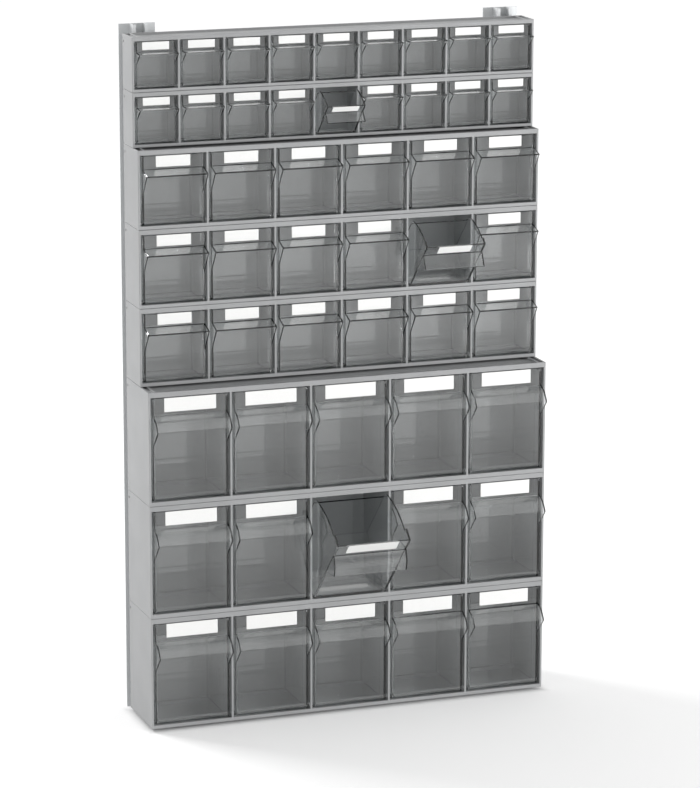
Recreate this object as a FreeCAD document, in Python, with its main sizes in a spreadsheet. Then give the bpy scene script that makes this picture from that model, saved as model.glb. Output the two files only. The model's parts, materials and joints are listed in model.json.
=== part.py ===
"""Tip-out bin wall: eight rows of clear bins in moulded housings that hang on two wall rails.

Every length is in millimetres. +X is to the right, +Y to the wall and +Z up.
The origin is the middle of the lowest housing's footprint, on the surface that the unit stands on.
"""
import FreeCAD, Part
import os
import Sketcher

# Driving dimensions shared by all rows: alias, value, meaning
SHARED = [
    ("unit_width", 600.0, "outside width of every row"),
    ("side_wall", 3.0, "thickness of a housing's side panel"),
    ("back_wall", 2.5, "thickness of a housing's back"),
    ("frame_wall", 3.0, "thickness of sill and lintel, front to back"),
    ("divider", 3.0, "thickness of the wall between two bins"),
    ("floor", 1.8, "thickness of a housing's floor"),
    ("roof", 1.5, "thickness of a housing's roof"),
    ("rim", 3.0, "width of the raised rim round the roof"),
    ("tongue", 2.6, "height of the stacking tongue under a housing"),
    ("tongue_width", 2.4, "width of the stacking tongue"),
    ("stack_gap", 0.2, "clearance between a tongue and the rim and ribs round it"),
    ("tongue_front", 22.0, "distance of the tongue's front stretch behind the frame"),
    ("rib", 3.0, "thickness of the two stacking ribs on a roof"),
    ("rib_inset", 6.5, "distance of a stacking rib from the rim beside it"),
    ("rest_depth", 8.0, "depth of the ledge that carries a closed bin at the back"),
    ("rest_gap", 0.3, "clearance between a closed bin and its ledge"),
    ("run_gap", 0.5, "clearance of a turning bin over its sill"),
    ("lintel_gap", 1.5, "clearance of a turning bin under its lintel"),
    ("side_gap", 3.0, "gap between a bin and the wall beside it"),
    ("back_gap", 2.5, "gap between a bin and the housing's back"),
    ("recess", 1.0, "how far a closed bin's front lies behind the frame"),
    ("tilt", 45.0, "angle in degrees at which an open bin rests on its sill"),
    ("bin_wall", 2.0, "wall thickness of a bin"),
    ("peg_radius", 2.4, "radius over the corners of a pivot peg"),
    ("peg_gap", 0.3, "clearance round a pivot peg"),
    ("peg_reach", 1.2, "how far a peg goes into the wall beside it"),
    ("peg_socket", 1.6, "depth of a peg's blind window in a side panel"),
    ("card_thickness", 0.5, "thickness of a label card"),
    ("card_top", 0.4, "margin above a label card"),
    ("rail_width", 53.0, "width of a wall rail over its flanges"),
    ("rail_depth", 20.0, "depth of a wall rail, wall to housing"),
    ("rail_wall", 2.0, "wall thickness of a rail"),
    ("channel", 22.0, "outside width of a rail's channel"),
    ("channel_mouth", 13.0, "width of the slot in the channel's front"),
    ("rail_rise", 11.0, "how far a rail stands above the top row"),
    ("screw_radius", 2.75, "radius of a rail's screw holes"),
    ("screw_inset", 60.0, "distance of a rail's screw holes from its ends"),
    ("lug_gap", 0.3, "clearance between a hanging lug and the channel"),
    ("lug_head", 3.0, "thickness of a hanging lug's head"),
    ("lug_height", 36.0, "height of a hanging lug"),
]

# Driving dimensions of a row and its bins: alias, value for small, medium and large bins, meaning
FAMILIES = ("small", "medium", "large")
BY_SIZE = [
    ("rows", (2, 3, 3), "number of rows of this size"),
    ("bins", (9, 6, 5), "number of bins in a row"),
    ("height", (77.5, 112.0, 164.5), "height of a row"),
    ("depth", (46.5, 69.5, 108.0), "depth of a housing"),
    ("sill", (4.6, 5.4, 6.5), "height of the frame's lower bar"),
    ("lintel", (5.8, 6.8, 7.2), "height of the frame's upper bar"),
    ("roll", (3.2, 4.0, 5.0), "radius of the rounded edge that the pegs are centred in"),
    ("toe", (1.8, 2.2, 2.5), "how far the stop bead stands out from a bin's front"),
    ("toe_height", (1.0, 1.3, 1.5), "height of the stop bead's nose"),
    ("label_zone", (13.4, 18.0, 24.4), "height of the flat strip for the label"),
    ("card_width", (39.0, 50.0, 76.0), "width of a label card"),
    ("card_height", (11.4, 16.0, 20.4), "height of a label card"),
    ("lip_out", (8.0, 12.0, 18.0), "how far the finger lip stands out"),
    ("lip_drop", (5.0, 11.0, 21.0), "how far the finger lip comes down"),
    ("lip_bulge", (0.0, 0.0, 3.0), "how far the finger lip bulges from the straight line"),
    ("lip_bends", (0, 0, 1), "number of bends that the finger lip's bulge is made with"),
    ("lip_wall", (1.6, 1.8, 2.0), "thickness of the finger lip"),
    ("gusset_drop", (10.5, 25.0, 21.5), "how far a gusset runs below the lip"),
    ("brow", (9.0, 12.0, 20.0), "depth of a side's raised front end"),
    ("cheek_step", (0.0, 1.0, 1.0), "how far that front end stands proud sideways, 0 if it does not"),
    ("brow_step", (1.5, 2.0, 6.0), "height of the step behind a side's raised front end"),
    ("corner", (3.0, 2.5, 5.0), "size of the cut-off upper rear corner of a side"),
    ("back_drop", (6.0, 8.0, 10.0), "how far a bin's rear wall stays below that corner"),
]

# Directions of a peg's corners from its axis, in degrees
PEG_CORNERS = range(0, 360, 60)

# Straight stretches that a side's curved upper edge is made of
TOP_STRETCHES = 3

# Bins that stand open: row counted from the top, bin counted from the left
OPEN_BINS = {(2, 5), (4, 5), (7, 3)}

doc = FreeCAD.newDocument("tip_out_bin_wall")
sheet = doc.addObject("Spreadsheet::Sheet", "Sizes")


def fill_sheet():
    """Put every driving dimension into the sheet, one row each, under its alias."""
    lines = list(SHARED)
    for place, family in enumerate(FAMILIES):
        for key, values, meaning in BY_SIZE:
            lines.append((f"{family}_{key}", values[place], f"{meaning}, {family} size"))
    for number, (alias, value, meaning) in enumerate(lines, start=1):
        sheet.set(f"A{number}", meaning)
        sheet.set(f"B{number}", str(value))
        sheet.setAlias(f"B{number}", alias)
    doc.recompute()


def number_of(expression):
    """Present value of an expression of the sheet."""
    value = sheet.evalExpression(expression)
    return float(getattr(value, "Value", value))


def expressions(family):
    """Lengths of one size that follow from the driving dimensions, as expressions of the sheet."""
    lengths = {key: f"Sizes.{family}_{key}" for key, _, _ in BY_SIZE}
    lengths.update({alias: f"Sizes.{alias}" for alias, _, _ in SHARED})

    def derive(name, formula):
        lengths[name] = "(" + formula.format(**lengths) + ")"

    derive("bay", "({unit_width} - 2 * {side_wall} - ({bins} - 1) * {divider}) / {bins}")
    derive("pitch", "{bay} + {divider}")
    derive("first_bay", "-{unit_width} / 2 + {side_wall} + {bay} / 2")
    derive("pan", "{tongue} + {stack_gap}")
    derive("roof_under", "{height} - {pan} - {roof}")
    derive("lintel_under", "{height} - {lintel}")
    derive("pivot_z", "{sill} + {run_gap} + {roll}")
    derive("pivot_y", "-{depth} + {recess} + {roll}")
    derive("bin_width", "{bay} - 2 * {side_gap}")
    derive("body_width", "{bin_width} - 2 * {cheek_step}")
    derive("sweep", "{lintel_under} - {pivot_z} - {lintel_gap}")
    derive("front_top", "sqrt({sweep} ^ 2 - {roll} ^ 2)")
    derive("bin_back", "-{back_wall} - {back_gap} - {pivot_y}")
    derive("lip_top", "{front_top} - {label_zone}")
    derive("lip_tip", "{lip_top} - {lip_drop}")
    derive("lip_front", "-{roll} - {lip_out}")
    return lengths


def sketch_on(body, plane, name, offset=None):
    """Empty sketch on one of a body's own origin planes, moved along the plane's normal."""
    sketch = body.newObject("Sketcher::SketchObject", name)
    support = next(item for item in body.Origin.OriginFeatures if item.Role == plane + "_Plane")
    sketch.AttachmentSupport = [(support, "")]
    sketch.MapMode = "FlatFace"
    if offset:
        sketch.setExpression(".AttachmentOffset.Base.z", offset)
    return sketch


def bind(sketch, constraint, expression):
    """Add a dimension to a sketch and tie it to the sheet."""
    index = sketch.addConstraint(constraint)
    sketch.setExpression(f"Constraints[{index}]", expression)


def outline(sketch, corners, values):
    """Closed outline of straight lines through corners that the sheet gives."""
    named = [(x.format(**values), y.format(**values)) for x, y in corners]
    points = [FreeCAD.Vector(number_of(x), number_of(y), 0) for x, y in named]
    base = sketch.GeometryCount
    for first, last in zip(points, points[1:] + points[:1]):
        sketch.addGeometry(Part.LineSegment(first, last))
    for place, (x, y) in enumerate(named):
        edge = base + place
        before = base + (place - 1) % len(named)
        sketch.addConstraint(Sketcher.Constraint("Coincident", before, 2, edge, 1))
        bind(sketch, Sketcher.Constraint("DistanceX", -1, 1, edge, 1, points[place].x), x)
        bind(sketch, Sketcher.Constraint("DistanceY", -1, 1, edge, 1, points[place].y), y)


def rectangle(sketch, left, right, low, high, values):
    """Closed rectangle between four expressions."""
    outline(sketch, [(left, low), (right, low), (right, high), (left, high)], values)


def disc(sketch, x, y, radius, values):
    """Circle about a point that the sheet gives."""
    x, y, radius = (text.format(**values) for text in (x, y, radius))
    centre = FreeCAD.Vector(number_of(x), number_of(y), 0)
    edge = sketch.addGeometry(Part.Circle(centre, FreeCAD.Vector(0, 0, 1), number_of(radius)))
    bind(sketch, Sketcher.Constraint("DistanceX", -1, 1, edge, 3, centre.x), x)
    bind(sketch, Sketcher.Constraint("DistanceY", -1, 1, edge, 3, centre.y), y)
    bind(sketch, Sketcher.Constraint("Radius", edge, number_of(radius)), radius)


def feature(body, kind, name, sketch, length, values, side="Symmetric", reverse=False):
    """Pad or pocket of a sketch, whose length the sheet gives."""
    item = body.newObject("PartDesign::" + kind, name)
    item.Profile = sketch
    item.SideType = side
    item.Reversed = reverse
    item.setExpression("Length", length.format(**values))
    sketch.Visibility = False
    return item


def along_x(body, original, name, step, count, values):
    """Repeat a feature to the right."""
    doc.recompute()
    pattern = body.newObject("PartDesign::LinearPattern", name)
    pattern.Originals = [original]
    axis = next(item for item in body.Origin.OriginFeatures if item.Role == "X_Axis")
    pattern.Direction = (axis, [""])
    pattern.setExpression("Length", f"({count} - 1) * {step}".format(**values))
    pattern.setExpression("Occurrences", count.format(**values))
    body.Tip = pattern
    return pattern


def make_tub(family, values):
    """Clear bin, moulded in one piece: the origin is on the axis of its pegs, halfway between them."""
    body = doc.addObject("PartDesign::Body", family + "_tub")

    # Side view: floor, rear wall, curved top, raised brow, front, stop bead and rounded lower edge
    slope = "({roll} + {toe} - {roll} * sin({tilt})) / cos({tilt})"
    nose = "(" + slope + " * sin({tilt}) - {roll} * cos({tilt}))"
    step_y = "({brow} - {roll})"
    brow_top = "sqrt({sweep} ^ 2 - " + step_y + " ^ 2)"
    rear_top = "sqrt({sweep} ^ 2 - {bin_back} ^ 2)"
    cut_y = "({bin_back} - {corner})"
    curve = []
    for number in range(TOP_STRETCHES + 1):
        y = f"({cut_y} + ({step_y} - {cut_y}) * {number} / {TOP_STRETCHES})"
        drop = f"({{run_gap}} + ({{brow_step}} - {{run_gap}}) * {number} / {TOP_STRETCHES})"
        curve.append((y, "sqrt(({sweep} - " + drop + ") ^ 2 - " + y + " ^ 2)"))
    front = [
        (step_y, brow_top),
        ("-{roll}", "{front_top}"),
        ("-{roll}", nose + " + {toe_height} + {toe}"),
        ("-{roll} - {toe}", nose + " + {toe_height}"),
        ("-{roll} - {toe}", nose),
        ("-{roll} * sin({tilt})", "-{roll} * cos({tilt})"),
        ("-{roll} * sin({tilt} / 2)", "-{roll} * cos({tilt} / 2)"),
        ("0", "-{roll}"),
    ]
    sketch = sketch_on(body, "YZ", family + "_side_view")
    rear = [("{bin_back}", "-{roll}"), ("{bin_back}", rear_top + " - {corner}")]
    outline(sketch, rear + curve + front, values)
    feature(body, "Pad", family + "_block", sketch, "{body_width}", values)

    # Cheeks: the front of both sides stands proud, over the whole height behind the front
    if number_of(values["cheek_step"]) > 0:
        sketch = sketch_on(body, "YZ", family + "_cheek_view")
        outline(sketch, [(step_y, "-{roll}")] + front, values)
        feature(body, "Pad", family + "_cheeks", sketch, "{bin_width}", values)

    # Pivot pegs on both sides, six-sided
    sketch = sketch_on(body, "YZ", family + "_peg_view")
    outline(sketch, [
        (f"{{peg_radius}} * cos({turn})", f"{{peg_radius}} * sin({turn})") for turn in PEG_CORNERS
    ], values)
    reach = "{bin_width} + 2 * ({side_gap} + {peg_reach})"
    feature(body, "Pad", family + "_pegs", sketch, reach, values)

    # Finger lip: a bulging hood below the label, closed at its ends by gussets
    gusset_end = "{lip_tip} - {lip_wall} - {gusset_drop}"
    slant = "sqrt({lip_out} ^ 2 + {lip_drop} ^ 2)"
    bends = int(number_of(values["lip_bends"]))
    hood = []
    for number in range(bends + 2):
        part = f"{number} / {bends + 1}"
        bulge = f"4 * {part} * (1 - {part}) * {{lip_bulge}} / {slant}"
        hood.append((f"-{{roll}} - {{lip_out}} * {part} - {{lip_drop}} * {bulge}",
                     f"{{lip_top}} - {{lip_drop}} * {part} + {{lip_out}} * {bulge}"))
    sketch = sketch_on(body, "YZ", family + "_lip_view")
    outline(sketch, [
        ("-{roll} + {bin_wall} / 2", gusset_end),
        ("-{roll} + {bin_wall} / 2", "{lip_top}"),
    ] + hood + [
        ("{lip_front}", "{lip_tip} - {lip_wall}"),
        ("-{roll}", gusset_end),
    ], values)
    feature(body, "Pad", family + "_lip", sketch, "{bin_width}", values)
    sketch = sketch_on(body, "YZ", family + "_finger_view")
    outline(sketch, [(y, z + " - {lip_wall}") for y, z in hood] + [
        ("{lip_front} - {lip_wall}", "{lip_tip} - {lip_wall}"),
        ("{lip_front} - {lip_wall}", gusset_end + " - {lip_wall}"),
        ("-{roll}", gusset_end + " - {lip_wall}"),
    ], values)
    feature(body, "Pocket", family + "_finger_space", sketch, "{bin_width} - 2 * {lip_wall}", values)

    # Inside of the bin: open at the top, with the rear wall lower than the sides
    sketch = sketch_on(body, "YZ", family + "_inside_view")
    outline(sketch, [
        ("0", "-{roll} + {bin_wall}"),
        ("{bin_back} - {bin_wall}", "-{roll} + {bin_wall}"),
        ("{bin_back} - {bin_wall}", rear_top + " - {back_drop}"),
        ("{bin_back} + {bin_wall}", rear_top + " - {back_drop}"),
        ("{bin_back} + {bin_wall}", "{sweep} + {bin_wall}"),
        ("-{roll} + {bin_wall}", "{sweep} + {bin_wall}"),
        ("-{roll} + {bin_wall}", "0"),
    ], values)
    feature(body, "Pocket", family + "_inside", sketch, "{body_width} - 2 * {bin_wall}", values)
    return body


def make_card(family, values):
    """Label card, in the frame of its bin."""
    body = doc.addObject("PartDesign::Body", family + "_card")
    sketch = sketch_on(body, "XZ", family + "_card_view", "{roll}".format(**values))
    rectangle(sketch, "-{card_width} / 2", "{card_width} / 2",
              "{front_top} - {card_top} - {card_height}", "{front_top} - {card_top}", values)
    feature(body, "Pad", family + "_card_sheet", sketch, "{card_thickness}", values, "One side")
    return body


def make_housing(family, values):
    """Housing of one row: the origin is at the middle of its back, at the foot of its frame."""
    body = doc.addObject("PartDesign::Body", family + "_housing")

    sketch = sketch_on(body, "XY", family + "_plan")
    rectangle(sketch, "-{unit_width} / 2", "{unit_width} / 2", "-{depth}", "0", values)
    feature(body, "Pad", family + "_case", sketch, "{height}", values, "One side")

    # Roof pan inside the rim: two ribs that run front to back part a channel off at each end
    rim_edge = "({unit_width} / 2 - {rim})"
    rib_edge = "(" + rim_edge + " - {rib_inset})"
    pan_edge = "(" + rib_edge + " - {rib})"
    sketch = sketch_on(body, "XY", family + "_pan_plan", "{height}".format(**values))
    for left, right in (("-" + rim_edge, "-" + rib_edge), ("-" + pan_edge, pan_edge), (rib_edge, rim_edge)):
        rectangle(sketch, left, right, "-{depth} + {rim}", "-{rim}", values)
    feature(body, "Pocket", family + "_pan", sketch, "{pan}", values, "One side")

    # Stacking tongue: a ring under the floor that drops between the ribs of the row below
    sketch = sketch_on(body, "XY", family + "_tongue_plan")
    for width in ("0", "{tongue_width}"):
        edge = "(" + pan_edge + " - {stack_gap} - " + width + ")"
        rectangle(sketch, "-" + edge, edge, "-{depth} + {tongue_front} + " + width,
                  "-{rim} - {stack_gap} - " + width, values)
    feature(body, "Pad", family + "_tongue", sketch, "{tongue}", values, "One side", True)

    # Bays: sill and lintel stay at the front, and a ledge at the back carries the closed bin
    sketch = sketch_on(body, "YZ", family + "_bay_view", "{first_bay}".format(**values))
    behind_frame = "-{depth} + {frame_wall}"
    rest_top = "{sill} + {run_gap} - {rest_gap}"
    outline(sketch, [
        ("-{depth} - {frame_wall}", "{sill}"),
        (behind_frame, "{sill}"),
        (behind_frame, "{floor}"),
        ("-{back_wall} - {rest_depth}", "{floor}"),
        ("-{back_wall} - {rest_depth}", rest_top),
        ("-{back_wall}", rest_top),
        ("-{back_wall}", "{roof_under}"),
        (behind_frame, "{roof_under}"),
        (behind_frame, "{lintel_under}"),
        ("-{depth} - {frame_wall}", "{lintel_under}"),
    ], values)
    bay = feature(body, "Pocket", family + "_bay", sketch, "{bay}", values)
    along_x(body, bay, family + "_bays", "{pitch}", "{bins}", values)

    # Peg windows: one line of square holes through all dividers, blind in the side panels
    sketch = sketch_on(body, "YZ", family + "_window_view")
    room = "({peg_radius} + {peg_gap})"
    rectangle(sketch, "{pivot_y} - " + room, "{pivot_y} + " + room,
              "{pivot_z} - " + room, "{pivot_z} + " + room, values)
    reach = "{unit_width} - 2 * ({side_wall} - {peg_socket})"
    feature(body, "Pocket", family + "_peg_windows", sketch, reach, values)

    # Hanging lugs: tees on the back that slide down inside the channels of both rails
    sketch = sketch_on(body, "XY", family + "_lug_plan",
                       "({height} - {lug_height}) / 2".format(**values))
    neck = "({channel_mouth} / 2 - {lug_gap})"
    head = "({channel} / 2 - {rail_wall} - {lug_gap})"
    for middle in ("-({unit_width} - {rail_width}) / 2", "({unit_width} - {rail_width}) / 2"):
        behind_lip = "{rail_wall} + {lug_gap}"
        outline(sketch, [
            (middle + " - " + neck, "-{back_wall} / 2"),
            (middle + " + " + neck, "-{back_wall} / 2"),
            (middle + " + " + neck, behind_lip),
            (middle + " + " + head, behind_lip),
            (middle + " + " + head, behind_lip + " + {lug_head}"),
            (middle + " - " + head, behind_lip + " + {lug_head}"),
            (middle + " - " + head, behind_lip),
            (middle + " - " + neck, behind_lip),
        ], values)
    feature(body, "Pad", family + "_lugs", sketch, "{lug_height}", values, "One side")
    return body


def make_rail(length, values):
    """Wall rail: an extruded channel between two flanges, with its slot towards the housings."""
    body = doc.addObject("PartDesign::Body", "rail")
    sketch = sketch_on(body, "XY", "rail_section")
    half = [
        ("{channel_mouth} / 2", "0"),
        ("{channel} / 2", "0"),
        ("{channel} / 2", "{rail_depth} - {rail_wall}"),
        ("{rail_width} / 2", "{rail_depth} - {rail_wall}"),
        ("{rail_width} / 2", "{rail_depth}"),
    ]
    inside = [
        ("{channel} / 2 - {rail_wall}", "{rail_depth} - {rail_wall}"),
        ("{channel} / 2 - {rail_wall}", "{rail_wall}"),
        ("{channel_mouth} / 2", "{rail_wall}"),
    ]
    mirrored = [("-(" + x + ")", y) for x, y in reversed(inside + half)]
    outline(sketch, inside + half + mirrored, values)
    feature(body, "Pad", "rail_bar", sketch, length, values, "One side")

    sketch = sketch_on(body, "XZ", "rail_screw_view", "-{rail_depth}".format(**values))
    for level in ("{screw_inset}", length + " - {screw_inset}"):
        disc(sketch, "0", level, "{screw_radius}", values)
    feature(body, "Pocket", "rail_screw_holes", sketch, "2 * {rail_wall}", values)
    return body


def place(label, pieces, x, y, z, angle=None):
    """One node: pieces of a shared shape, set where the sheet says and turned about X if open."""
    node = doc.addObject("Part::Compound", label)
    node.Label = label
    node.Links = pieces
    if angle:
        node.Placement.Rotation = FreeCAD.Rotation(FreeCAD.Vector(1, 0, 0), number_of(angle))
        node.setExpression(".Placement.Rotation.Angle", angle)
    for axis, expression in zip("xyz", (x, y, z)):
        node.setExpression(".Placement.Base." + axis, expression)
    return node


def build_rows():
    """All rows from the floor up, each with its housing and its bins; returns the nodes."""
    nodes = []
    total_rows = sum(int(number_of(f"Sizes.{family}_rows")) for family in FAMILIES)
    back = "Sizes.large_depth / 2"
    level = "Sizes.tongue"
    row = total_rows
    for family in reversed(FAMILIES):
        values = expressions(family)
        tub = make_tub(family, values)
        card = make_card(family, values)
        housing = make_housing(family, values)
        doc.recompute()
        for _ in range(int(number_of(values["rows"]))):
            nodes.append(place(f"housing_row_{row}", [housing], "0", back, level))
            for number in range(1, int(number_of(values["bins"])) + 1):
                x = "{first_bay} + {number} * {pitch}".format(number=number - 1, **values)
                y = back + " + " + values["pivot_y"]
                z = level + " + " + values["pivot_z"]
                angle = values["tilt"] if (row, number) in OPEN_BINS else None
                nodes.append(place(f"bin_row{row}_no{number}", [tub, card], x, y, z, angle))
            level = level + " + " + values["height"]
            row -= 1
    rail = make_rail(level + " + Sizes.rail_rise", values)
    edge = "(Sizes.unit_width - Sizes.rail_width) / 2"
    left = place("rail_left", [rail], "-" + edge, back, "0")
    right = place("rail_right", [rail], edge, back, "0")
    nodes.append(place("wall_rails", [left, right], "0", "0", "0"))
    return nodes


def check(nodes):
    """Stop before anything is written if the document or a node has failed."""
    for item in doc.Objects:
        if {"Invalid", "Error"} & set(item.State):
            raise RuntimeError(f"{item.Label} failed: {item.State}")
    for node in nodes:
        if node.Shape.isNull() or not node.Shape.isValid():
            raise RuntimeError(f"{node.Label} has no valid shape")


fill_sheet()
NODES = build_rows()
doc.recompute()
check(NODES)
os.makedirs("parts", exist_ok=True)
for node in NODES:
    node.Shape.exportStep(f"parts/{node.Label}.step")
print(f"{len(NODES)} nodes, {sum(len(node.Shape.Solids) for node in NODES)} solids")
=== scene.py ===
# %% [markdown]
# # A wall of tip-out bins
# Eight grey housings hang one above the other on two aluminium rails. Each holds a row of clear bins
# that tip forward on pegs near their lower front edge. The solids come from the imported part; this lesson
# gives them softened edges, finishes, light and a camera. Blender counts in metres, so a size that a maker
# would give in millimetres is written as a number times MM.

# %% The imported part
import json
import math
import bmesh
import bpy
from mathutils import Matrix, Vector

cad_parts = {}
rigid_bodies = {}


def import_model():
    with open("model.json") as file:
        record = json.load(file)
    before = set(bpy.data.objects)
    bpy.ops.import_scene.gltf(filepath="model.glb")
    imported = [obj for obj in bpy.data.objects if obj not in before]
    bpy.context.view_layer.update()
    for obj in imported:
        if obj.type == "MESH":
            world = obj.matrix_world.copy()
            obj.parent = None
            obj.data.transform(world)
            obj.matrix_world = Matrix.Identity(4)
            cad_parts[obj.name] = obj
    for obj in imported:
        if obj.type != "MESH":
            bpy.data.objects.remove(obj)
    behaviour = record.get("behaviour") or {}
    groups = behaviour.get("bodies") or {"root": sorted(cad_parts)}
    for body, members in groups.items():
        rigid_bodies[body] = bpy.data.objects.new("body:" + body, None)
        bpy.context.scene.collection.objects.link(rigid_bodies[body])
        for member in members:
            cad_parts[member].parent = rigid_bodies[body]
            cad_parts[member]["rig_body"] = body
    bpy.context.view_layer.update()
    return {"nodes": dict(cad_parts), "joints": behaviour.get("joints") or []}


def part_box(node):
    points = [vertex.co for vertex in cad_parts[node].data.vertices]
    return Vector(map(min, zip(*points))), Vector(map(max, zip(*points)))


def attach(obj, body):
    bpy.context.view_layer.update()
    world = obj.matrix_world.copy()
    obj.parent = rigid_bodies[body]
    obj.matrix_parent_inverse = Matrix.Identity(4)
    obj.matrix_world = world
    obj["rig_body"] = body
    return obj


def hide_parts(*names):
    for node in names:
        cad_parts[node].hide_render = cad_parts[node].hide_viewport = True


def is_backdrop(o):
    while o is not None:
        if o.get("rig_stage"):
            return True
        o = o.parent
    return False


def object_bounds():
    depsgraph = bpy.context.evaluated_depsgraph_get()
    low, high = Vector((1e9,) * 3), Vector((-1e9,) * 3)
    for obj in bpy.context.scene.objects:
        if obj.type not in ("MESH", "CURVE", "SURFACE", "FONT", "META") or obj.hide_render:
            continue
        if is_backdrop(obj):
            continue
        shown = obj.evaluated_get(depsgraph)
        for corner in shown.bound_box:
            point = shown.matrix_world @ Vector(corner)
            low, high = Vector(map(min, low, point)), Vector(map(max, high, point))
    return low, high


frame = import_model()
MM = 0.001

# %% [markdown]
# ## Helpers for finishes
# Colours are written the way a paint chart gives them, as sRGB hex values, and turned to the linear values
# that the renderer works with. Every finish is a small node tree, so one function adds a node, sets its
# sockets or settings by name and links what feeds it. Two more start a finish and end it.

# %% Colour and node helpers
def linear(hex_colour):
    """Linear RGBA of an sRGB hex colour; the sRGB curve has a straight foot and then a power of 2.4."""
    channels = [int(hex_colour[place:place + 2], 16) / 255 for place in (1, 3, 5)]
    return [c / 12.92 if c <= 0.04045 else ((c + 0.055) / 1.055) ** 2.4 for c in channels] + [1.0]


def add_node(tree, kind, settings=None, links=None):
    """Add a node; settings name sockets or properties, links name sockets and what feeds them."""
    node = tree.nodes.new(kind)
    for name, value in (settings or {}).items():
        if isinstance(name, int) or name in node.inputs:
            node.inputs[name].default_value = value
        else:
            setattr(node, name, value)
    for name, source in (links or {}).items():
        tree.links.new(source, node.inputs[name])
    return node


def start_finish(name):
    """New material with an empty tree; returns both, and the place on the piece in metres."""
    material = bpy.data.materials.new(name)
    material.use_nodes = True
    tree = material.node_tree
    tree.nodes.clear()
    place = add_node(tree, "ShaderNodeTexCoord").outputs["Object"]
    return material, tree, place


def end_finish(material, shader):
    """Join the finished shader to the material's output."""
    tree = material.node_tree
    add_node(tree, "ShaderNodeOutputMaterial", links={"Surface": shader.outputs[0]})
    print(material.name, "of", len(tree.nodes), "nodes")


# %% [markdown]
# ## Grey polystyrene
# The housings are injection-moulded in grey high-impact polystyrene. The mould is spark-eroded, which
# leaves a fine even grain and a soft sheen. The real grain is about 0.3 mm, too fine for this picture, so it
# is drawn 1.2 mm wide. A slow change in tone over some 60 mm stands for the flow of the melt.

# %% Grey polystyrene
GRAIN = 1.2 * MM
FLOW = 60 * MM
polystyrene, tree, place = start_finish("moulded grey polystyrene")
flow = add_node(tree, "ShaderNodeTexNoise", {"Scale": 1 / FLOW, "Detail": 2.0}, {"Vector": place})
tone = add_node(tree, "ShaderNodeValToRGB", links={"Fac": flow.outputs["Fac"]})
tone.color_ramp.elements[0].position = 0.3
tone.color_ramp.elements[0].color = linear("#9c9d9e")
tone.color_ramp.elements[1].position = 0.7
tone.color_ramp.elements[1].color = linear("#a3a4a5")
grain = add_node(tree, "ShaderNodeTexNoise", {"Scale": 1 / GRAIN, "Detail": 3.0}, {"Vector": place})
sheen = add_node(tree, "ShaderNodeMapRange", {"To Min": 0.42, "To Max": 0.56},
                 {"Value": grain.outputs["Fac"]})
relief = add_node(tree, "ShaderNodeBump", {"Strength": 0.12, "Distance": 0.05 * MM},
                  {"Height": grain.outputs["Fac"]})
end_finish(polystyrene, add_node(tree, "ShaderNodeBsdfPrincipled", {"IOR": 1.59}, {
    "Base Color": tone.outputs["Color"],
    "Roughness": sheen.outputs["Result"],
    "Normal": relief.outputs["Normal"]}))

# %% [markdown]
# ## Clear polystyrene
# The bins are moulded in crystal polystyrene from a polished mould. It bends light strongly, so edges and
# rounded corners look dark with bright spots, and its flat walls are never quite even: a faint wave some
# 30 mm long is left as the melt cools. A wall takes a little light away, which is why the stacked walls look
# smoky. If every ray were bent, little light would find its way into a bin, so the rays that look for a lamp
# and those that gather light for a matt surface pass straight through. Only what the eye follows is bent.

# %% Clear polystyrene
WAVE = 30 * MM
crystal, tree, place = start_finish("clear crystal polystyrene")
wave = add_node(tree, "ShaderNodeTexNoise", {"Scale": 1 / WAVE, "Detail": 1.0}, {"Vector": place})
haze = add_node(tree, "ShaderNodeMapRange", {"To Min": 0.0, "To Max": 0.04}, {"Value": wave.outputs["Fac"]})
relief = add_node(tree, "ShaderNodeBump", {"Strength": 0.1, "Distance": 0.02 * MM},
                  {"Height": wave.outputs["Fac"]})
glass = add_node(tree, "ShaderNodeBsdfPrincipled", {
    "Base Color": linear("#fafbfb"), "Transmission Weight": 1.0, "IOR": 1.59}, {
    "Roughness": haze.outputs["Result"], "Normal": relief.outputs["Normal"]})
path = add_node(tree, "ShaderNodeLightPath")
light_ray = add_node(tree, "ShaderNodeMath", {"operation": "MAXIMUM"}, {
    0: path.outputs["Is Shadow Ray"], 1: path.outputs["Is Diffuse Ray"]})
passing = add_node(tree, "ShaderNodeBsdfTransparent", {"Color": linear("#f6f7f7")})
end_finish(crystal, add_node(tree, "ShaderNodeMixShader", links={
    0: light_ray.outputs["Value"], 1: glass.outputs["BSDF"], 2: passing.outputs["BSDF"]}))

# %% [markdown]
# ## White card
# A blank label of bright white card lies on the flat strip of each bin. Card is matt, and its fibres make a
# faint mottling about 2 mm across.

# %% White card
FIBRE = 2 * MM
card_stock, tree, place = start_finish("white label card")
fibre = add_node(tree, "ShaderNodeTexNoise", {"Scale": 1 / FIBRE, "Detail": 4.0}, {"Vector": place})
tone = add_node(tree, "ShaderNodeValToRGB", links={"Fac": fibre.outputs["Fac"]})
tone.color_ramp.elements[0].color = linear("#f6f6f4")
tone.color_ramp.elements[1].color = linear("#fdfdfc")
relief = add_node(tree, "ShaderNodeBump", {"Strength": 0.1, "Distance": 0.03 * MM},
                  {"Height": fibre.outputs["Fac"]})
end_finish(card_stock, add_node(tree, "ShaderNodeBsdfPrincipled", {"Roughness": 0.7}, {
    "Base Color": tone.outputs["Color"], "Normal": relief.outputs["Normal"]}))

# %% [markdown]
# ## Anodised aluminium
# The rails are extruded aluminium with a satin anodised skin. Extrusion leaves fine lines along the bar, so
# the pattern is stretched: lines 1 mm apart and some 300 mm long. The skin scatters most of the light and
# looks more like pale paint than bare metal, so the metallic share is small.

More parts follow.
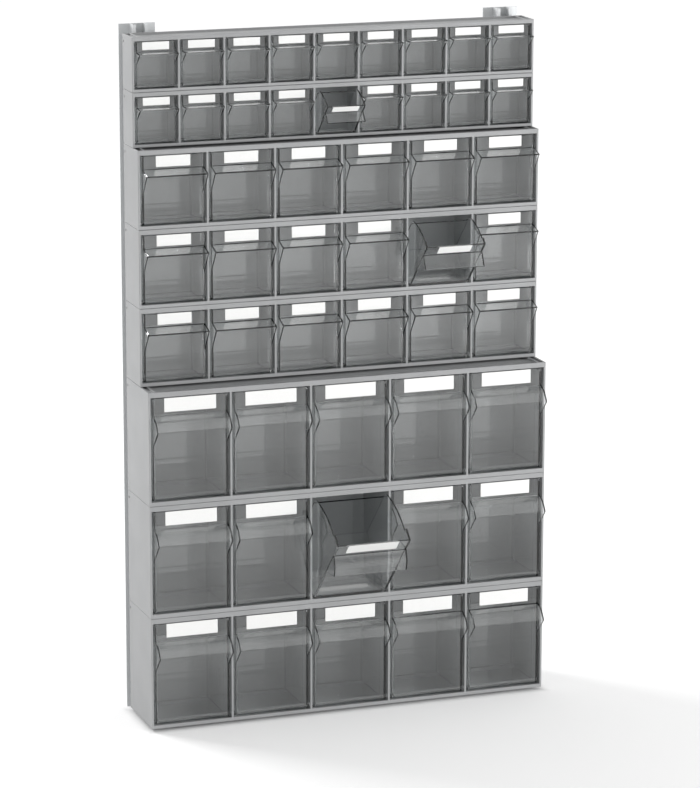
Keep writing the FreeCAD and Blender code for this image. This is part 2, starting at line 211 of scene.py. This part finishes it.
# %% Anodised aluminium
LINE = 1 * MM
RUN = 300 * MM
aluminium, tree, place = start_finish("satin anodised aluminium")
along = add_node(tree, "ShaderNodeMapping", {"Scale": (1 / LINE, 1 / LINE, 1 / RUN)}, {"Vector": place})
lines = add_node(tree, "ShaderNodeTexNoise", {"Scale": 1.0, "Detail": 2.0},
                 {"Vector": along.outputs["Vector"]})
satin = add_node(tree, "ShaderNodeMapRange", {"To Min": 0.5, "To Max": 0.62},
                 {"Value": lines.outputs["Fac"]})
tone = add_node(tree, "ShaderNodeValToRGB", links={"Fac": lines.outputs["Fac"]})
tone.color_ramp.elements[0].color = linear("#d2d4d5")
tone.color_ramp.elements[1].color = linear("#dbddde")
end_finish(aluminium, add_node(tree, "ShaderNodeBsdfPrincipled", {"Metallic": 0.35}, {
    "Base Color": tone.outputs["Color"], "Roughness": satin.outputs["Result"]}))

# %% [markdown]
# ## Softened edges
# A moulding has no sharp edges: the steel of the mould is rounded, and a rounded edge catches a thin line
# of light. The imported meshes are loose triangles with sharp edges, so each piece is copied, its corners are
# merged, flat neighbours are joined again, and then the edges are bevelled. Smooth shading would bend the
# light on the flat walls too. On grey plastic and aluminium a Weighted Normal modifier stops that: it lets
# the large faces keep their own direction. Clear plastic shows every bent normal, so the bins are shaded
# flat and their bevels do the work.

# %% Copy, join and soften
SAME_CORNER = 0.005 * MM
FLAT_TURN = 0.5
SHARP_TURN = 40
EDGE_STEPS = 2


def joined_copy(node):
    """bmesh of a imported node: corners merged and flat neighbours joined."""
    shape = bmesh.new()
    shape.from_mesh(frame["nodes"][node].data)
    bmesh.ops.remove_doubles(shape, verts=shape.verts, dist=SAME_CORNER)
    bmesh.ops.dissolve_limit(shape, angle_limit=math.radians(FLAT_TURN), use_dissolve_boundaries=False,
                             verts=shape.verts, edges=shape.edges, delimit={"NORMAL"})
    return shape


def turning(edge):
    """Angle in degrees by which the surface turns at an edge."""
    return math.degrees(edge.calc_face_angle(0.0))


def sharp_edges(shape):
    """Edges at which the surface turns sharply."""
    return [edge for edge in shape.edges if turning(edge) > SHARP_TURN]


def soften(shape, edges, offset, segments, kind="OFFSET"):
    """Round some edges by an offset in metres, or by a share of their neighbours' length in percent."""
    bmesh.ops.bevel(shape, geom=edges, offset=offset, offset_type=kind, segments=segments, profile=0.5,
                    affect="EDGES", clamp_overlap=True, material=-1)


def finished(shape, name, material):
    """Object of a bmesh, shaded flat."""
    mesh = bpy.data.meshes.new(name)
    shape.to_mesh(mesh)
    shape.free()
    mesh.materials.append(material)
    mesh.shade_flat()
    piece = bpy.data.objects.new(name, mesh)
    bpy.context.scene.collection.objects.link(piece)
    return piece


def shade_evenly(piece):
    """Smooth shading in which the large faces keep their own direction."""
    piece.data.shade_smooth()
    piece.data.set_sharp_from_angle(angle=math.radians(SHARP_TURN))
    even = piece.modifiers.new("large faces kept even", "WEIGHTED_NORMAL")
    even.keep_sharp = True


# %% [markdown]
# ## Side holes
# High up at the back of each side panel there is a small round hole. Cutting it into the bmesh would need a
# ring of matching corners. A Boolean modifier finds them by itself, and its result is kept at once, because
# the tool that cuts the hole must not stay in the scene.

# %% Side holes
HOLE_RADIUS = 1.8 * MM
HOLE_DEPTH = 3.4 * MM
HOLE_SIDES = 16
HOLE_FROM_BACK = 6 * MM
HOLE_FROM_TOP = 10 * MM


def sink_holes(piece, spots):
    """Drill round holes through the side panels of a piece."""
    shape = bmesh.new()
    sideways = Matrix.Rotation(math.radians(90), 4, "Y")
    for spot in spots:
        bmesh.ops.create_cone(shape, cap_ends=True, segments=HOLE_SIDES, radius1=HOLE_RADIUS,
                              radius2=HOLE_RADIUS, depth=2 * HOLE_DEPTH,
                              matrix=Matrix.Translation(spot) @ sideways)
    drill = finished(shape, "drill", polystyrene)
    cut = piece.modifiers.new("side holes", "BOOLEAN")
    cut.operation = "DIFFERENCE"
    cut.solver = "EXACT"
    cut.object = drill
    graph = bpy.context.evaluated_depsgraph_get()
    drilled = bpy.data.meshes.new_from_object(piece.evaluated_get(graph))
    piece.modifiers.clear()
    piece.data = drilled
    bpy.data.objects.remove(drill)


# %% [markdown]
# ## Housings
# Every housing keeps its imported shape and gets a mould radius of 0.5 mm on its edges. Mouldings never close
# on each other without a gap, and a fine dark line runs round the unit at each seam, so the underside of
# each row is drawn in by half a millimetre, and that of the lowest row, which stands on its tongue, by
# 1.6 mm.

# %% Housings
MOULD_RADIUS = 0.5 * MM
TONGUE = 2.6 * MM
SAME_LEVEL = 0.01 * MM
SEAM = 0.5 * MM
FOOT_GAP = 1.6 * MM
LOWEST_ROW = 8
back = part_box("wall_rails")[0].y
for row in range(1, LOWEST_ROW + 1):
    node = f"housing_row_{row}"
    low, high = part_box(node)
    shape = joined_copy(node)
    underside = [vert for vert in shape.verts if abs(vert.co.z - low.z - TONGUE) < SAME_LEVEL]
    bmesh.ops.translate(shape, verts=underside, vec=(0, 0, FOOT_GAP if row == LOWEST_ROW else SEAM))
    soften(shape, sharp_edges(shape), MOULD_RADIUS, EDGE_STEPS)
    housing = finished(shape, f"{node}_moulding", polystyrene)
    sink_holes(housing, [(x, back - HOLE_FROM_BACK, high.z - HOLE_FROM_TOP) for x in (low.x, high.x)])
    shade_evenly(housing)
    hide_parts(node)
    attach(housing, "frame")
    print(housing.name, len(underside), "corners drawn in,", len(housing.data.polygons), "faces")

# %% [markdown]
# ## Label cards
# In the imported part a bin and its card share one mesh. They are of different materials, so the card is split
# off: it is the only group of joined corners that has eight of them. A real card is thin and is pushed up to
# the edge of its strip, so it is trimmed a little.

# %% Split off and trim the card
CARD_CORNERS = 8
CARD_TOP_UP = 0.35 * MM
CARD_FOOT_UP = 0.8 * MM
CARD_THINNER = 0.35 * MM
SAME_FACE = 0.1 * MM


def joined_corners(start):
    """All corners that edges join to one corner, and that corner."""
    group = {start}
    reach = [start]
    while reach:
        for edge in reach.pop().link_edges:
            for other in edge.verts:
                if other not in group:
                    group.add(other)
                    reach.append(other)
    return group


def split_card(shape):
    """Take the label card out of a bin's bmesh; returns the card's bmesh."""
    card = shape.copy()
    for part, keep_card in ((shape, False), (card, True)):
        seen = set()
        drop = []
        for start in part.verts:
            if start in seen:
                continue
            group = joined_corners(start)
            seen |= group
            if (len(group) == CARD_CORNERS) != keep_card:
                drop += list(group)
        bmesh.ops.delete(part, geom=drop, context="VERTS")
    return card


def trim_card(card):
    """Make the label card as thin as card is, and push it up to the edge of its strip."""
    front = min(vert.co.y for vert in card.verts)
    face = [vert for vert in card.verts if vert.co.y < front + SAME_FACE]
    bmesh.ops.translate(card, verts=face, vec=(0, CARD_THINNER, 0))
    middle = sum(vert.co.z for vert in card.verts) / len(card.verts)
    top = [vert for vert in card.verts if vert.co.z > middle]
    foot = [vert for vert in card.verts if vert.co.z < middle]
    bmesh.ops.translate(card, verts=top, vec=(0, 0, CARD_TOP_UP))
    bmesh.ops.translate(card, verts=foot, vec=(0, 0, CARD_FOOT_UP))


# %% [markdown]
# ## Finger lips
# Seen against the dividers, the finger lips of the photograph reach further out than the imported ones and
# drop less. Moving each corner by hand would take a table of places. One matrix that stretches and shears
# about the front wall draws the whole lip out instead, and its gussets follow.

# %% Draw out the finger lip
LIP_REACH = {"small": 16 * MM, "medium": 20 * MM, "large": 22 * MM}
LIP_LIFT = {"small": 3.5 * MM, "medium": 4 * MM, "large": 2 * MM}


def draw_out_lip(tub, wall, size):
    """Stretch the finger lip away from the front wall and lift its tip."""
    middle = max(vert.co.z for vert in tub.verts) / 2
    lip = [vert for vert in tub.verts if vert.co.y < wall - SAME_FACE and vert.co.z > middle]
    packed_reach = wall - min(vert.co.y for vert in lip)
    drawn = Matrix.Identity(4)
    drawn[1][1] = LIP_REACH[size] / packed_reach
    drawn[2][1] = -LIP_LIFT[size] / packed_reach
    root = Matrix.Translation((0, wall, 0))
    bmesh.ops.transform(tub, matrix=root @ drawn @ root.inverted(), verts=lip)


# %% [markdown]
# ## Patterns of the clear bins
# The bins come in three sizes, so three patterns are enough. Each pattern is taken from one closed bin and
# moved so that its pegs' axis passes through the origin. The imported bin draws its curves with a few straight
# stretches; here the joints between them are rounded until they run as one curve, and the pegs become round.
# Long corners get a larger radius than the rest: in clear plastic such a corner shows as a dark line with a
# bright core.

# %% Kinds of edges
ACROSS = 0.98
SLIGHT_TURN = 2
CURVE_TURN = 27
LIP_TURN = 60
LONG_CORNER = 15 * MM


def edges_across(shape):
    """Edges that run from side to side."""
    return [edge for edge in shape.edges
            if abs(edge.verts[0].co.x - edge.verts[1].co.x) > ACROSS * edge.calc_length()]


def curve_bends(tub, front):
    """Slight bends behind the front, between the straight stretches of a curve."""
    return [edge for edge in edges_across(tub)
            if SLIGHT_TURN < turning(edge) < CURVE_TURN and edge.verts[0].co.y > front]


def lip_bends(tub, front):
    """Long bends of the finger lip, which stands out in front of the card above the pegs."""
    return [edge for edge in edges_across(tub)
            if min(vert.co.y for vert in edge.verts) < front
            and min(vert.co.z for vert in edge.verts) > 0
            and SLIGHT_TURN < turning(edge) < LIP_TURN
            and edge.calc_length() > LONG_CORNER]


def peg_edges(tub, side):
    """Edges along the two pegs, which stand out past the sides."""
    return [edge for edge in edges_across(tub)
            if abs(edge.verts[0].co.x + edge.verts[1].co.x) > 2 * side]


def long_corners(tub, front):
    """Long sharp corners behind the front or above the pegs."""
    return [edge for edge in sharp_edges(tub)
            if edge.calc_length() > LONG_CORNER
            and (edge.verts[0].co.y > front or edge.verts[0].co.z > 0)]


# %% Patterns of the three sizes
EDGE_RADIUS = 0.25 * MM
CORNER_RADIUS = 0.5 * MM
CORNER_STEPS = 3
CURVE_SHARE = 42
CURVE_STEPS = 4
LIP_SHARE = 20
LIP_STEPS = 3
PEG_STEPS = 2
PATTERNS = {"small": "bin_row1_no1", "medium": "bin_row5_no1", "large": "bin_row8_no1"}
hinge_of = {joint["child"]: joint for joint in frame["joints"]}


def body_of(node):
    """Name of the moving body that carries a bin."""
    return frame["nodes"][node]["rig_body"]


patterns = {}
for size, node in PATTERNS.items():
    tub = joined_copy(node)
    axis_point = Vector(hinge_of[body_of(node)]["pos_m"])
    bmesh.ops.translate(tub, verts=tub.verts, vec=-axis_point)
    card = split_card(tub)
    front = min(vert.co.y for vert in card.verts)
    wall = max(vert.co.y for vert in card.verts)
    trim_card(card)
    draw_out_lip(tub, wall, size)
    side = max(vert.co.x for vert in tub.verts if vert.co.y < front)
    soften(tub, curve_bends(tub, front), CURVE_SHARE, CURVE_STEPS, "PERCENT")
    soften(tub, lip_bends(tub, front), LIP_SHARE, LIP_STEPS, "PERCENT")
    soften(tub, peg_edges(tub, side), CURVE_SHARE, PEG_STEPS, "PERCENT")
    soften(tub, long_corners(tub, front), CORNER_RADIUS, CORNER_STEPS)
    soften(tub, sharp_edges(tub), EDGE_RADIUS, EDGE_STEPS)
    patterns[size] = (tub, card)
    open_edges = [edge for edge in tub.edges if not edge.is_manifold]
    print(size, "bin", len(tub.faces), "faces,", len(open_edges), "open edges")

# %% [markdown]
# ## Bins in their places
# Every bin is a copy of its size's pattern, tipped about its pegs and moved to its hinge. A hinge counts its
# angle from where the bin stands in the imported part, and its lower limit is the closed place. So a bin is
# tipped by as much as it can be turned back: nothing for most, 45 degrees for the three that stand open. Tub
# and card are pieces of their own that ride on the same body.

# %% Place every bin
LAST_SMALL_ROW = 2
LAST_MEDIUM_ROW = 5


def size_of(row):
    """Bins get larger downwards: rows of small ones, then medium ones, then large ones."""
    if row <= LAST_SMALL_ROW:
        return "small"
    return "medium" if row <= LAST_MEDIUM_ROW else "large"


for node in sorted(name for name in frame["nodes"] if name.startswith("bin_")):
    row = int(node[len("bin_row")])
    body = body_of(node)
    hinge = hinge_of[body]
    tipped = -hinge["range_deg"][0]
    pose = Matrix.Translation(hinge["pos_m"]) @ Matrix.Rotation(math.radians(tipped), 4, "X")
    for pattern, suffix, material in zip(patterns[size_of(row)], ("tub", "card"), (crystal, card_stock)):
        shape = pattern.copy()
        bmesh.ops.transform(shape, matrix=pose, verts=shape.verts)
        piece = finished(shape, f"{node}_{suffix}", material)
        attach(piece, body)
        if suffix == "tub":
            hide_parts(node)

# %% [markdown]
# ## Rails
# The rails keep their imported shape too. An extrusion leaves the die with slightly rounded edges, so a copy
# gets a radius of 0.4 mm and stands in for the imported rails.

# %% Rails
DIE_RADIUS = 0.4 * MM
shape = joined_copy("wall_rails")
soften(shape, sharp_edges(shape), DIE_RADIUS, EDGE_STEPS)
rails = finished(shape, "wall_rails_extrusion", aluminium)
shade_evenly(rails)
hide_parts("wall_rails")
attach(rails, "frame")
print("rails", len(rails.data.polygons), "faces")

# %% [markdown]
# ## Floor
# The picture is a plain studio one: a white ground without a horizon. The ground is one large sheet. A little
# light of its own, which only the eye and mirrors see, lifts its unshaded parts to white. It grows with the
# distance from the unit, and it leaves out the strip under the unit, so that the line where it stands stays
# dark.

# %% Floor
FLOOR_SIZE = 60.0
CONTACT = 12 * MM
front_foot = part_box(f"housing_row_{LOWEST_ROW}")[0]
half_footprint = (-front_foot.x, -front_foot.y, 0)


def seen_directly(tree):
    """Socket that is 1 for the eye, mirrors and clear plastic, and 0 where light is gathered."""
    path = add_node(tree, "ShaderNodeLightPath")
    direct = add_node(tree, "ShaderNodeMath", {"operation": "ADD"}, {
        0: path.outputs["Is Camera Ray"], 1: path.outputs["Is Glossy Ray"]})
    seen = add_node(tree, "ShaderNodeMath", {"operation": "ADD", "use_clamp": True}, {
        0: direct.outputs["Value"], 1: path.outputs["Is Transmission Ray"]})
    return seen.outputs["Value"]


ground, tree, place = start_finish("white studio ground")
distance = add_node(tree, "ShaderNodeVectorMath", {"operation": "LENGTH"}, {0: place})
white = add_node(tree, "ShaderNodeMapRange", {
    "From Min": 1.0, "From Max": 4.0, "To Min": 0.25, "To Max": 0.5}, {"Value": distance.outputs["Value"]})
span = add_node(tree, "ShaderNodeVectorMath", {"operation": "ABSOLUTE"}, {0: place})
beyond = add_node(tree, "ShaderNodeVectorMath", {"operation": "SUBTRACT", 1: half_footprint},
                  {0: span.outputs["Vector"]})
sides = add_node(tree, "ShaderNodeSeparateXYZ", links={"Vector": beyond.outputs["Vector"]})
outside = add_node(tree, "ShaderNodeMath", {"operation": "MAXIMUM"}, {
    0: sides.outputs["X"], 1: sides.outputs["Y"]})
clear_of_unit = add_node(tree, "ShaderNodeMapRange", {"From Max": CONTACT},
                         {"Value": outside.outputs["Value"]})
lift = add_node(tree, "ShaderNodeMath", {"operation": "MULTIPLY"}, {
    0: clear_of_unit.outputs["Result"], 1: white.outputs["Result"]})
share = add_node(tree, "ShaderNodeMath", {"operation": "MULTIPLY"}, {
    0: seen_directly(tree), 1: lift.outputs["Value"]})
matt = add_node(tree, "ShaderNodeBsdfDiffuse", {"Color": linear("#f2f2f2")})
glow = add_node(tree, "ShaderNodeEmission", links={"Strength": share.outputs["Value"]})
end_finish(ground, add_node(tree, "ShaderNodeAddShader", links={
    0: matt.outputs["BSDF"], 1: glow.outputs["Emission"]}))
shape = bmesh.new()
bmesh.ops.create_grid(shape, x_segments=1, y_segments=1, size=FLOOR_SIZE / 2)
floor = finished(shape, "studio_ground", ground)
floor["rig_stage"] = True

# %% [markdown]
# ## Light
# Even light comes from all around: white where it is seen, and weaker where it lights the unit, so that the
# lamps have something to add. A large lamp behind on the left throws the soft shadow forward to the right,
# and a second one on the right brightens the fronts and the cards.

# %% Light
AMBIENT = 0.6
LAMP_SIZE = 1.2
world = bpy.data.worlds.new("even studio light")
bpy.context.scene.world = world
world.use_nodes = True
tree = world.node_tree
tree.nodes.clear()
level = add_node(tree, "ShaderNodeMapRange", {"To Min": AMBIENT, "To Max": 1.0},
                 {"Value": seen_directly(tree)})
sky = add_node(tree, "ShaderNodeBackground", {"Color": linear("#ffffff")},
               {"Strength": level.outputs["Result"]})
add_node(tree, "ShaderNodeOutputWorld", links={"Surface": sky.outputs["Background"]})


def add_lamp(name, place, target, power):
    """Square soft lamp that points at a target."""
    data = bpy.data.lights.new(name, "AREA")
    data.size = LAMP_SIZE
    data.energy = power
    lamp = bpy.data.objects.new(name, data)
    lamp.location = place
    lamp.rotation_euler = (Vector(target) - Vector(place)).to_track_quat("-Z", "Y").to_euler()
    bpy.context.scene.collection.objects.link(lamp)
    print(name, power, "W")


add_lamp("rear_softbox", place=(-1.8, 2.2, 2.0), target=(0, 0, 0.3), power=60)
add_lamp("front_softbox", place=(3.2, -2.6, 1.0), target=(0, 0, 0.5), power=105)

# %% [markdown]
# ## Camera
# The camera stands where the edges of the photographed unit say it stood: five metres away, a little to the
# left and above, with a long lens.

# %% Camera
CAMERA_PLACE = (-1.7216, -4.8528, 1.6722)
CAMERA_ANGLES = (76.755, -0.088, -19.702)
scene = bpy.context.scene
scene.view_settings.view_transform = "Standard"
lens = bpy.data.cameras.new("photo_camera")
lens.sensor_width = 36.0
lens.lens = 168.14
lens.clip_end = 200.0
camera = bpy.data.objects.new("photo_camera", lens)
camera.location = CAMERA_PLACE
camera.rotation_euler = [math.radians(angle) for angle in CAMERA_ANGLES]
scene.collection.objects.link(camera)
scene.camera = camera
print("camera", round(camera.location.length, 2), "m from the foot of the unit")

# %% [markdown]
# ## Size
# The box of what is seen is measured and printed. What is seen has to fill the same box as the imported
# part.

# %% Size and end
low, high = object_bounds()
print("visual box", [round(v, 4) for v in (*low, *high)])
